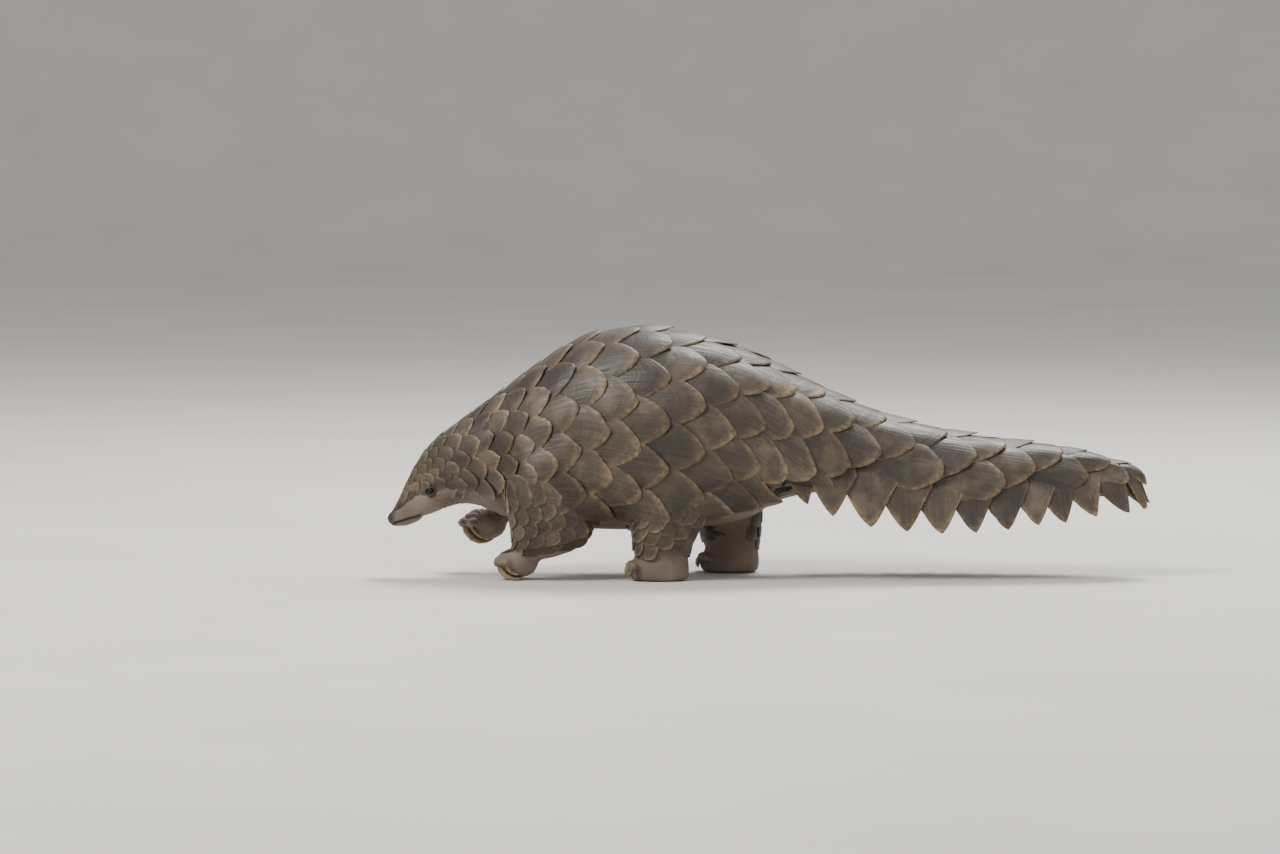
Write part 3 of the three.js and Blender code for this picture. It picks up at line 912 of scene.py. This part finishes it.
faceSet = {
    "lidHalf": (0.0047, 0.0031),  # the eye's opening, half its length and half its height
    "lidOver": 0.0011,  # the lids' thickness over the eyeball
    "eyeRadius": 0.0046,
    "eyeAhead": (-0.86, 0.0, -0.50),
    "eyeSunk": 0.0016,
    "nostril": (-0.3995, 0.0040, 0.0632),
    "nostrilDepth": 0.0034,
    "mouthCorner": (-0.3650, 0.0650),
    "mouthSlope": 0.316,
    "mouthDepth": 0.0019,
    "ear": (-0.3235, 0.0370, 0.0885),
    "earHalf": (0.0042, 0.0078),  # half its length and half its height
    "earFold": 0.0030,
    "crease": 0.00045,
}


def shapeEye(co, no, side):
    centre = eyes[side]
    near = np.linalg.norm(co - centre, axis=1) < 0.011
    out = no[near].mean(axis=0)
    out /= np.linalg.norm(out)
    ahead = np.array(faceSet["eyeAhead"])
    ahead -= out * np.dot(ahead, out)
    ahead /= np.linalg.norm(ahead)
    up = np.cross(ahead, out) * (1 if np.cross(ahead, out)[2] > 0 else -1)
    rel = co - centre
    u, v, n = rel @ ahead, rel @ up, rel @ out
    v = v - 0.10 * u  # the opening is a little slanted
    rho = np.hypot(u / faceSet["lidHalf"][0], v / faceSet["lidHalf"][1])
    spread = np.hypot(u, v)
    surface = n > -0.004
    ballTop = np.sqrt(np.clip(faceSet["eyeRadius"]**2 - spread**2, 0, None))
    lidTop = np.sqrt(np.clip((faceSet["eyeRadius"] + faceSet["lidOver"])**2 - spread**2, 0, None))
    lidTop = np.maximum(lidTop, n - 0.0012)
    inside = 1 - ramp(0.86, 1.06, rho)
    rim = ramp(0.9, 1.1, rho) * (1 - ramp(1.45, 2.5, rho))
    goal = n + (lidTop - n) * rim
    goal = goal + (ballTop - faceSet["eyeSunk"] - goal) * inside
    fold = 0.00035 * np.sin(rho * 5.2 + 0.6) * ramp(1.35, 1.8, rho) * (1 - ramp(2.8, 4.2, rho))
    return co + out * ((goal - n + fold) * surface * (rho < 4.5))[:, None], float(np.max(n[near]))


def shapeFace(obj):
    co, no = pointsOf(obj), pointsOf(obj, "normal")
    for side in sides:
        co, stands = shapeEye(co, no, side)
        print("eye", side, "skin stands over its centre by", round(stands * 1000, 1), "mm")
    nx, ny, nz = faceSet["nostril"]
    for sign in (-1, 1):
        rel = co - np.array([nx, sign * ny, nz])
        reach = np.linalg.norm(rel * np.array([0.5, 1.0, 0.8]), axis=1)
        hollow = np.exp(-(reach / 0.0015) ** 2)
        rim = np.exp(-((reach - 0.0030) / 0.0011) ** 2)
        inward = np.array([1.0, -0.25 * sign, 0.1])
        co = co + inward * (faceSet["nostrilDepth"] * hollow)[:, None]
        co = co + no * (0.0005 * rim)[:, None]
    cornerX, cornerZ = faceSet["mouthCorner"]
    lineZ = cornerZ + faceSet["mouthSlope"] * (co[:, 0] - cornerX)
    off = np.abs(co[:, 2] - lineZ) * 0.95
    along = ramp(cornerX + 0.003, cornerX - 0.003, co[:, 0]) * (1 - ramp(-0.392, -0.398, co[:, 0]))
    slit = np.exp(-(off / 0.0008) ** 2) * along
    lips = np.exp(-((off - 0.0022) / 0.0012) ** 2) * along
    co = co - no * (faceSet["mouthDepth"] * slit - 0.0004 * lips)[:, None]
    earX, earY, earZ = faceSet["ear"]
    halfLength, halfHeight = faceSet["earHalf"]
    for sign in (-1, 1):
        rel = co - np.array([earX, sign * earY, earZ])
        lean = rel[:, 0] - 0.25 * rel[:, 2]
        rho = np.hypot(lean / halfLength, rel[:, 2] / halfHeight) + 4 * (np.abs(rel[:, 1]) > 0.014)
        rim = np.exp(-((rho - 1.15) / 0.42) ** 2) * (0.75 + 0.25 * np.clip(lean / 0.004, -1, 1))
        hollow = np.exp(-(rho / 0.66) ** 2)
        co = co + no * (faceSet["earFold"] * rim - faceSet["earFold"] * hollow)[:, None]
    crease = np.sin((co[:, 0] * 0.55 + co[:, 2] * 0.85) * 1500 + 6 * np.sin(co[:, 0] * 190))
    cheek = ramp(-0.352, -0.336, co[:, 0]) * ramp(-0.255, -0.285, co[:, 0])
    cheek = cheek * ramp(0.100, 0.080, co[:, 2]) * ramp(0.046, 0.056, co[:, 2])
    co = co + no * (faceSet["crease"] * crease * cheek)[:, None]
    setPoints(obj, co)


shapeFace(skin)
skin.data.validate()
print("face shaped")


# Eyes and claws

def eyeBall(side):
    centre = eyes[side]
    deselectAll()
    bpy.ops.mesh.primitive_uv_sphere_add(segments=48, ring_count=32, radius=faceSet["eyeRadius"],
                                         location=tuple(centre))
    ball = justAdded()
    ball.name = f"eyeball_{side}"
    bulge = pointsOf(ball)
    out = np.array([-0.30, sides[side] * 0.93, 0.15])
    out /= np.linalg.norm(out)
    height = (bulge - centre) @ out
    bulge = bulge + out * (0.0004 * ramp(0.0030, 0.0046, height))[:, None]  # the cornea
    setPoints(ball, bulge)
    return ball


clawSizes = {"voxel": 0.00085, "swell": 0.0002}


def clawSet(which, side):
    claws = []
    for toe in range(1, 6):
        name = f"{which}_claw_{side}_{toe}"
        claw = copyOf([name], f"claw_{which}_{side}_{toe}")
        remesh(claw, clawSizes["voxel"])
        smoothOut(claw, 6)
        co = pointsOf(claw) + pointsOf(claw, "normal") * clawSizes["swell"]
        co[:, 2] += pointsOf(nodes[name])[:, 2].min() - co[:, 2].min()  # still as low as the solid
        setPoints(claw, co)
        claws.append(claw)
    joined = joinAll(claws)
    joined.name = f"claws_{which}_{side}"
    joined.data.name = joined.name
    return joined


eyeBalls = {side: eyeBall(side) for side in sides}
clawPieces = {(which, side): clawSet(which, side) for which in ("fore", "hind") for side in sides}
print("eyes and claws made")


# Camera, floor and light

cameraSet = {
    "target": (-0.135, 0.0, 0.157),
    "distance": 6.0,
    "elevation": 3.5,
    "fieldWidth": 1.344,  # metres across the picture at the target
    "sensor": 36,
}
lift = math.radians(cameraSet["elevation"])
target = Vector(cameraSet["target"])
spot = target + Vector((0, -math.cos(lift), math.sin(lift))) * cameraSet["distance"]
bpy.ops.object.camera_add(location=spot, rotation=(target - spot).to_track_quat("-Z", "Y").to_euler())
camera = bpy.context.object
camera.data.sensor_width = cameraSet["sensor"]
camera.data.lens = cameraSet["sensor"] * cameraSet["distance"] / cameraSet["fieldWidth"]
camera.data.clip_end = 50
bpy.context.scene.camera = camera

floorSet = {"radius": 12, "height": 3, "sweep": 2.8}
bpy.ops.mesh.primitive_cylinder_add(vertices=128, radius=floorSet["radius"], depth=floorSet["height"],
                                    location=(0, 0, floorSet["height"] / 2))
floor = justAdded()
floor.name = "floor"  # a wide studio floor, swept up all round into an open wall
selectFaces(floor, lambda face: face.center.z > floorSet["height"] - 0.1)
bpy.ops.mesh.delete(type="FACE")
bpy.ops.mesh.select_all(action="SELECT")
bpy.ops.mesh.flip_normals()
bpy.ops.object.mode_set(mode="OBJECT")
corner = floor.modifiers.new("sweep", "BEVEL")
corner.width = floorSet["sweep"]
corner.segments = 24
corner.limit_method = "ANGLE"
corner.angle_limit = math.radians(60)
bpy.ops.object.modifier_apply(modifier="sweep")
for face in floor.data.polygons:
    face.use_smooth = True

lampSet = [
    # place, aim, size, watts: a broad key from the front left above, a weak fill, a rim from behind
    ((-2.0, -1.7, 2.8), (-0.1, 0, 0.10), 1.3, 115),
    ((2.0, -2.6, 1.8), (0, 0, 0.1), 2.4, 20),
    ((0.7, 1.7, 3.0), (0, 0, 0.15), 1.3, 150),
]
for place, aim, size, power in lampSet:
    bpy.ops.object.light_add(type="AREA", location=place)
    lamp = bpy.context.object
    lamp.data.size = size
    lamp.data.energy = power
    lamp.rotation_euler = (Vector(aim) - Vector(place)).to_track_quat("-Z", "Y").to_euler()
world = bpy.data.worlds.new("studio")
world.use_nodes = True
world.node_tree.nodes["Background"].inputs["Color"].default_value = (0.98, 0.98, 1.0, 1)
world.node_tree.nodes["Background"].inputs["Strength"].default_value = 0.6
bpy.context.scene.world = world


# Materials

def hexColour(code):  # sRGB hex to linear
    parts = [int(code[k:k + 2], 16) / 255 for k in (1, 3, 5)]
    return tuple(p / 12.92 if p <= 0.04045 else ((p + 0.055) / 1.055) ** 2.4 for p in parts) + (1.0,)


def newMaterial(name):
    material = bpy.data.materials.new(name)
    material.use_nodes = True
    tree = material.node_tree
    tree.nodes.clear()
    shader = tree.nodes.new("ShaderNodeBsdfPrincipled")
    out = tree.nodes.new("ShaderNodeOutputMaterial")
    tree.links.new(shader.outputs["BSDF"], out.inputs["Surface"])
    return material, tree, shader


eased = {"interpolation_type": "SMOOTHSTEP"}
mixed = {"data_type": "RGBA"}
multiplied = {"data_type": "RGBA", "blend_type": "MULTIPLY"}


def setInputs(tree, node, inputs):  # by name or number: a value, a hex colour or another node's output
    for key, value in inputs.items():
        if isinstance(value, bpy.types.NodeSocket):
            tree.links.new(value, node.inputs[key])
        else:
            node.inputs[key].default_value = hexColour(value) if isinstance(value, str) else value


def addNode(tree, kind, inputs, output=0, stops=(), **settings):
    node = tree.nodes.new("ShaderNode" + kind)
    for key, value in settings.items():
        setattr(node, key, value)
    for extra in stops[2:]:
        node.color_ramp.elements.new(0.5)
    for place, (position, code) in enumerate(stops):
        node.color_ramp.elements[place].position = position
        node.color_ramp.elements[place].color = hexColour(code)
    setInputs(tree, node, inputs)
    return node.outputs[output]


scaleLook = {
    # the root and low colours are painted shade, darker where the next scale lies over the root
    "root": "#2c241c",
    "low": "#43372a",
    "body": "#5a4a39",
    "tip": "#65533f",
    "worn": "#9c8764",
    "dust": "#8a7862",
    "striae": 480,  # ridges over a metre: real ones lie about 1.2 mm apart, these 2 mm, so that they show
}


def keratinScales():
    # Overlapping horn plates: a fine ribbed grain from root to tip, darkened with painted shade where they
    # come out from under the next, worn pale and smooth at the free edge, with dry dust in the grain
    material, tree, shader = newMaterial("keratin_scale")
    horn = addNode(tree, "UVMap", {}, uv_map="ScaleMap")
    rim = addNode(tree, "UVMap", {}, uv_map="RimMap")
    tone = addNode(tree, "Attribute", {}, "Fac", attribute_name="tone")
    place = addNode(tree, "TexCoord", {}, "Object")
    beside = addNode(tree, "SeparateXYZ", {0: rim}, "X")
    rise = addNode(tree, "SeparateXYZ", {0: rim}, "Y")
    apart = addNode(tree, "Math", {0: tone, 1: 40.0}, operation="MULTIPLY")

    # the grain runs up the scale, the growth bands across it, and both differ from scale to scale
    grainPlace = addNode(tree, "VectorMath", {0: horn, 1: (scaleLook["striae"], 26.0, 0.0), 2: apart},
                         operation="MULTIPLY_ADD")
    grain = addNode(tree, "TexNoise", {"Vector": grainPlace, "Scale": 1.0, "Detail": 3.0, "Roughness": 0.55})
    bandPlace = addNode(tree, "VectorMath", {0: rim, 1: (0.8, 26.0, 0.0), 2: apart},
                        operation="MULTIPLY_ADD")
    bands = addNode(tree, "TexNoise", {"Vector": bandPlace, "Scale": 1.0, "Detail": 2.0})
    patches = addNode(tree, "TexNoise", {"Vector": place, "Scale": 34.0, "Detail": 5.0, "Roughness": 0.6})
    fine = addNode(tree, "TexNoise", {"Vector": place, "Scale": 210.0, "Detail": 4.0})

    # painted shade: darker towards the root, where the next scale lies over it
    colour = addNode(tree, "ValToRGB", {0: rise},
                     stops=[(0.18, scaleLook["root"]), (0.48, scaleLook["low"]),
                            (0.80, scaleLook["body"]), (1.0, scaleLook["tip"])])
    streak = addNode(tree, "ValToRGB", {0: grain},
                     stops=[(0.34, "#8c8c8c"), (0.52, "#bdbdbd"), (0.68, "#f2f2f2")])
    colour = addNode(tree, "Mix", {0: 0.75, 6: colour, 7: streak}, 2, **multiplied)
    banded = addNode(tree, "ValToRGB", {0: bands}, stops=[(0.35, "#a9a9a9"), (0.6, "#ffffff")])
    colour = addNode(tree, "Mix", {0: 0.5, 6: colour, 7: banded}, 2, **multiplied)

    # the free edge is worn pale, more in some places than in others
    side = addNode(tree, "Math", {0: beside}, operation="ABSOLUTE")
    sideWear = addNode(tree, "MapRange", {0: side, 1: 0.80, 2: 1.0}, **eased)
    tipWear = addNode(tree, "MapRange", {0: rise, 1: 0.86, 2: 1.0}, **eased)
    worn = addNode(tree, "Math", {0: tipWear, 1: sideWear}, operation="MAXIMUM")
    broken = addNode(tree, "MapRange", {0: fine, 1: 0.38, 2: 0.62, 3: 0.15, 4: 1.0}, **eased)
    uneven = addNode(tree, "MapRange", {0: patches, 1: 0.36, 2: 0.62, 3: 0.25, 4: 0.85}, **eased)
    worn = addNode(tree, "Math", {0: worn, 1: broken}, operation="MULTIPLY")
    worn = addNode(tree, "Math", {0: worn, 1: uneven}, operation="MULTIPLY")
    colour = addNode(tree, "Mix", {0: worn, 6: colour, 7: scaleLook["worn"]}, 2, **mixed)
    dusty = addNode(tree, "MapRange", {0: patches, 1: 0.44, 2: 0.70, 3: 0.03, 4: 0.36}, **eased)
    colour = addNode(tree, "Mix", {0: dusty, 6: colour, 7: scaleLook["dust"]}, 2, **mixed)
    toned = addNode(tree, "ValToRGB", {0: tone},
                    stops=[(0.0, "#b0a89f"), (0.5, "#dcd8d2"), (1.0, "#ffffff")])
    colour = addNode(tree, "Mix", {0: 1.0, 6: colour, 7: toned}, 2, **multiplied)
    rough = addNode(tree, "MapRange", {0: grain, 1: 0.3, 2: 0.7, 3: 0.60, 4: 0.42}, **eased)
    shader.inputs["IOR"].default_value = 1.54  # keratin
    height = addNode(tree, "Math", {0: bands, 1: 0.8, 2: grain}, operation="MULTIPLY_ADD")
    height = addNode(tree, "Math", {0: fine, 1: 0.36, 2: height}, operation="MULTIPLY_ADD")
    bump = addNode(tree, "Bump", {"Strength": 0.42, "Distance": 0.0009, "Height": height})
    setInputs(tree, shader, {"Base Color": colour, "Roughness": rough, "Normal": bump})
    return material


skinLook = {
    "pale": "#87776a",
    "mid": "#6a5b50",
    # the fold colour is painted shade, laid into the creases between the leather cells
    "fold": "#3f342d",
    "dark": "#221c19",  # nose, lips and lids, and painted shade in the ear hollows
    "cell": 620,  # leather cells over a metre, about 1.6 mm
}


def leatherySkin():
    # Bare grey-brown hide: dry, creased into small cells with painted shade in the creases, darker and a
    # little damp at the nose and lids
    material, tree, shader = newMaterial("leathery_hide")
    place = addNode(tree, "TexCoord", {}, "Object")
    dark = addNode(tree, "Attribute", {}, "Fac", attribute_name="dark")
    bend = addNode(tree, "TexNoise", {"Vector": place, "Scale": 130.0, "Detail": 3.0}, "Color")
    bent = addNode(tree, "VectorMath", {0: bend, 1: (0.003, 0.003, 0.003), 2: place},
                   operation="MULTIPLY_ADD")
    cells = addNode(tree, "TexVoronoi", {"Vector": bent, "Scale": float(skinLook["cell"])},
                    "Distance", feature="DISTANCE_TO_EDGE")
    broad = addNode(tree, "TexNoise", {"Vector": place, "Scale": 24.0, "Detail": 6.0})
    fold = addNode(tree, "TexNoise", {"Vector": place, "Scale": 260.0, "Detail": 5.0, "Distortion": 1.2})
    colour = addNode(tree, "ValToRGB", {0: broad},
                     stops=[(0.34, skinLook["mid"]), (0.66, skinLook["pale"])])
    # painted shade: the creases between the cells are darkened
    creaseShade = addNode(tree, "MapRange", {0: cells, 1: 0.0, 2: 0.20, 3: 0.20, 4: 0.0}, **eased)
    colour = addNode(tree, "Mix", {0: creaseShade, 6: colour, 7: skinLook["fold"]}, 2, **mixed)
    # the dark mask also carries painted shade in the ear hollows
    colour = addNode(tree, "Mix", {0: dark, 6: colour, 7: skinLook["dark"]}, 2, **mixed)
    rough = addNode(tree, "MapRange", {0: dark, 1: 0.0, 2: 1.0, 3: 0.68, 4: 0.46})
    shader.inputs["IOR"].default_value = 1.45
    raised = addNode(tree, "MapRange", {0: cells, 1: 0.0, 2: 0.24}, **eased)
    height = addNode(tree, "Math", {0: fold, 1: 1.6, 2: raised}, operation="MULTIPLY_ADD")
    calm = addNode(tree, "MapRange", {0: dark, 1: 0.2, 2: 0.9, 3: 1.0, 4: 0.35})
    height = addNode(tree, "Math", {0: height, 1: calm}, operation="MULTIPLY")
    bump = addNode(tree, "Bump", {"Strength": 0.42, "Distance": 0.0005, "Height": height})
    setInputs(tree, shader, {"Base Color": colour, "Roughness": rough, "Normal": bump})
    return material


def clawHorn():
    # Thick digging claws: dull dark horn with lengthwise splits, scraped paler towards the point
    material, tree, shader = newMaterial("claw_horn")
    place = addNode(tree, "TexCoord", {}, "Object")
    tip = addNode(tree, "Attribute", {}, "Fac", attribute_name="tip")
    stretched = addNode(tree, "Mapping", {"Vector": place, "Scale": (90.0, 900.0, 90.0)})
    splits = addNode(tree, "TexNoise", {"Vector": stretched, "Scale": 1.0, "Detail": 4.0})
    scrape = addNode(tree, "TexNoise", {"Vector": place, "Scale": 240.0, "Detail": 4.0})
    colour = addNode(tree, "ValToRGB", {0: tip},
                     stops=[(0.0, "#3b3129"), (0.55, "#6d5c48"), (1.0, "#a8946f")])
    streak = addNode(tree, "ValToRGB", {0: splits}, stops=[(0.36, "#7f7f7f"), (0.62, "#ffffff")])
    colour = addNode(tree, "Mix", {0: 0.7, 6: colour, 7: streak}, 2, **multiplied)
    soiled = addNode(tree, "MapRange", {0: scrape, 1: 0.45, 2: 0.68, 3: 0.0, 4: 0.4}, **eased)
    colour = addNode(tree, "Mix", {0: soiled, 6: colour, 7: "#7d6b57"}, 2, **mixed)
    rough = addNode(tree, "MapRange", {0: scrape, 1: 0.3, 2: 0.7, 3: 0.38, 4: 0.60})
    shader.inputs["IOR"].default_value = 1.54
    bump = addNode(tree, "Bump", {"Strength": 0.5, "Distance": 0.0005, "Height": splits})
    setInputs(tree, shader, {"Base Color": colour, "Roughness": rough, "Normal": bump})
    return material


def wetEye():
    # A small wet eye, almost black, its brown iris showing only close up
    material, tree, shader = newMaterial("wet_eye")
    place = addNode(tree, "TexCoord", {}, "Object")
    speck = addNode(tree, "TexNoise", {"Vector": place, "Scale": 700.0, "Detail": 3.0})
    colour = addNode(tree, "ValToRGB", {0: speck}, stops=[(0.4, "#090706"), (0.7, "#1b110b")])
    setInputs(tree, shader, {"Base Color": colour, "Roughness": 0.09, "IOR": 1.36})
    return material


def paintedFloor():
    # A plain matt studio floor with a faint roller mottle
    material, tree, shader = newMaterial("matt_floor_paint")
    place = addNode(tree, "TexCoord", {}, "Object")
    mottle = addNode(tree, "TexNoise", {"Vector": place, "Scale": 3.0, "Detail": 4.0})
    colour = addNode(tree, "ValToRGB", {0: mottle}, stops=[(0.3, "#cfccc6"), (0.7, "#d6d3cd")])
    setInputs(tree, shader, {"Base Color": colour, "Roughness": 0.85})
    return material


def giveMaterial(obj, material):
    obj.data.materials.clear()
    obj.data.materials.append(material)


def setShare(obj, name, values):
    layer = obj.data.attributes.new(name, "FLOAT", "POINT")
    layer.data.foreach_set("value", np.asarray(values, np.float32))


def darkPlaces(co):  # the nose pad, lips and lids, and painted shade in the ear hollows
    nose = ramp(-0.3885, -0.3960, co[:, 0] + 0.25 * np.clip(0.066 - co[:, 2], 0, 1))
    cornerX, cornerZ = faceSet["mouthCorner"]
    off = np.abs(co[:, 2] - cornerZ - faceSet["mouthSlope"] * (co[:, 0] - cornerX))
    lips = ramp(0.0030, 0.0006, off) * ramp(cornerX + 0.004, cornerX - 0.002, co[:, 0])
    lids = sum(ramp(0.0095, 0.0052, np.linalg.norm(co - eyes[side], axis=1)) for side in sides)
    earX, earY, earZ = faceSet["ear"]
    # painted shade: the ear hollows are darkened where shade falls into them
    earShade = sum(np.exp(-((co[:, 0] - earX) / 0.0026) ** 2 - ((co[:, 2] - earZ) / 0.0056) ** 2
                      - ((co[:, 1] - earY * sign) / 0.012) ** 2) for sign in (-1, 1))
    return np.clip(nose * 0.92 + 0.75 * lips + 0.8 * lids + 0.7 * earShade, 0, 1)


scaleMaterial = keratinScales()
for piece in scalePieces:
    giveMaterial(piece, scaleMaterial)
setShare(skin, "dark", darkPlaces(pointsOf(skin)))
giveMaterial(skin, leatherySkin())
clawMaterial = clawHorn()
for (which, side), piece in clawPieces.items():
    co = pointsOf(piece)
    back = co[:, 0].max()
    front = co[:, 0].min()
    if which == "hind":
        towardsTip = np.clip((back - co[:, 0]) / (back - front), 0, 1)
    else:
        towardsTip = ramp(0.030, 0.004, co[:, 2] - co[:, 2].min())
    setShare(piece, "tip", towardsTip)
    giveMaterial(piece, clawMaterial)
eyeMaterial = wetEye()
for ball in eyeBalls.values():
    giveMaterial(ball, eyeMaterial)
giveMaterial(floor, paintedFloor())
print("materials given")


for piece in scalePieces:
    finishPiece(piece)
finishPiece(skin, ["nose", "lower_jaw", "head", "neck", "trunk", "tail_root", "tail_end",
                           "ear_left", "ear_right", "fore_leg_left", "fore_leg_right", "fore_foot_left",
                           "fore_foot_right", "hind_leg_left", "hind_leg_right", "hind_foot_left",
                           "hind_foot_right"])
for side, ball in eyeBalls.items():
    finishPiece(ball, [f"eye_{side}"])
for (which, side), piece in clawPieces.items():
    finishPiece(piece, [f"{which}_claw_{side}_{toe}" for toe in range(1, 6)])
